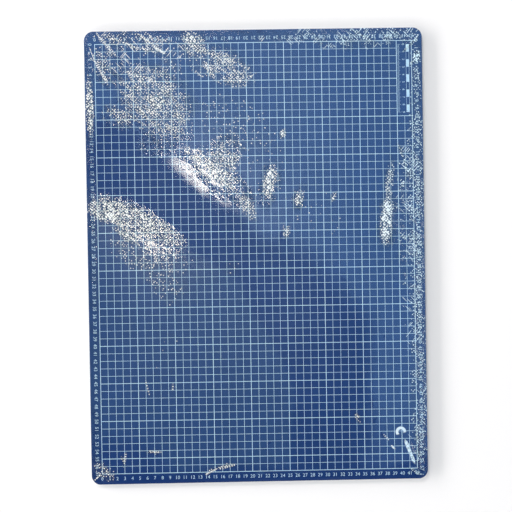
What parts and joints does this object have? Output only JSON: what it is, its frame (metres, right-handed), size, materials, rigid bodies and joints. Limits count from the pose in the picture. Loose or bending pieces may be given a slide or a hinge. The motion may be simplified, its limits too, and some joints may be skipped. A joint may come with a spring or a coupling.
{
  "type": "craft cutting mat",
  "caption": "Flat laminated cutting mat with a printed centimetre grid and numbered margins, sealed in clear shrink film.",
  "frame": {"origin": "middle of the underside, on the surface that the mat lies on", "axes": "+X to the right across the mat, +Y up the mat towards its printed panel, +Z out of the printed face"},
  "size_m": [0.4498, 0.6028, 0.0033],
  "materials": {
    "vinyl_skin": "blue soft vinyl with a fine pebbled emboss",
    "vinyl_cushion": "blue soft vinyl filler, seen at the cut edge",
    "core_board": "grey stiff board, seen at the cut edge",
    "print_ink": "white screen ink",
    "clear_film": "clear shrink film, drawn tight and finely wrinkled",
    "fused_film": "cloudy bead of fused film"
  },
  "bodies": {
    "root": {"face_skin": "vinyl_skin", "upper_cushion": "vinyl_cushion", "rigid_core": "core_board", "lower_cushion": "vinyl_cushion", "back_skin": "vinyl_skin", "grid_lines_down": "print_ink", "grid_lines_across": "print_ink", "film_front": "clear_film", "film_back": "clear_film", "seal_left": "fused_film", "seal_top": "fused_film", "seal_right": "fused_film"}
  },
  "joints": []
}
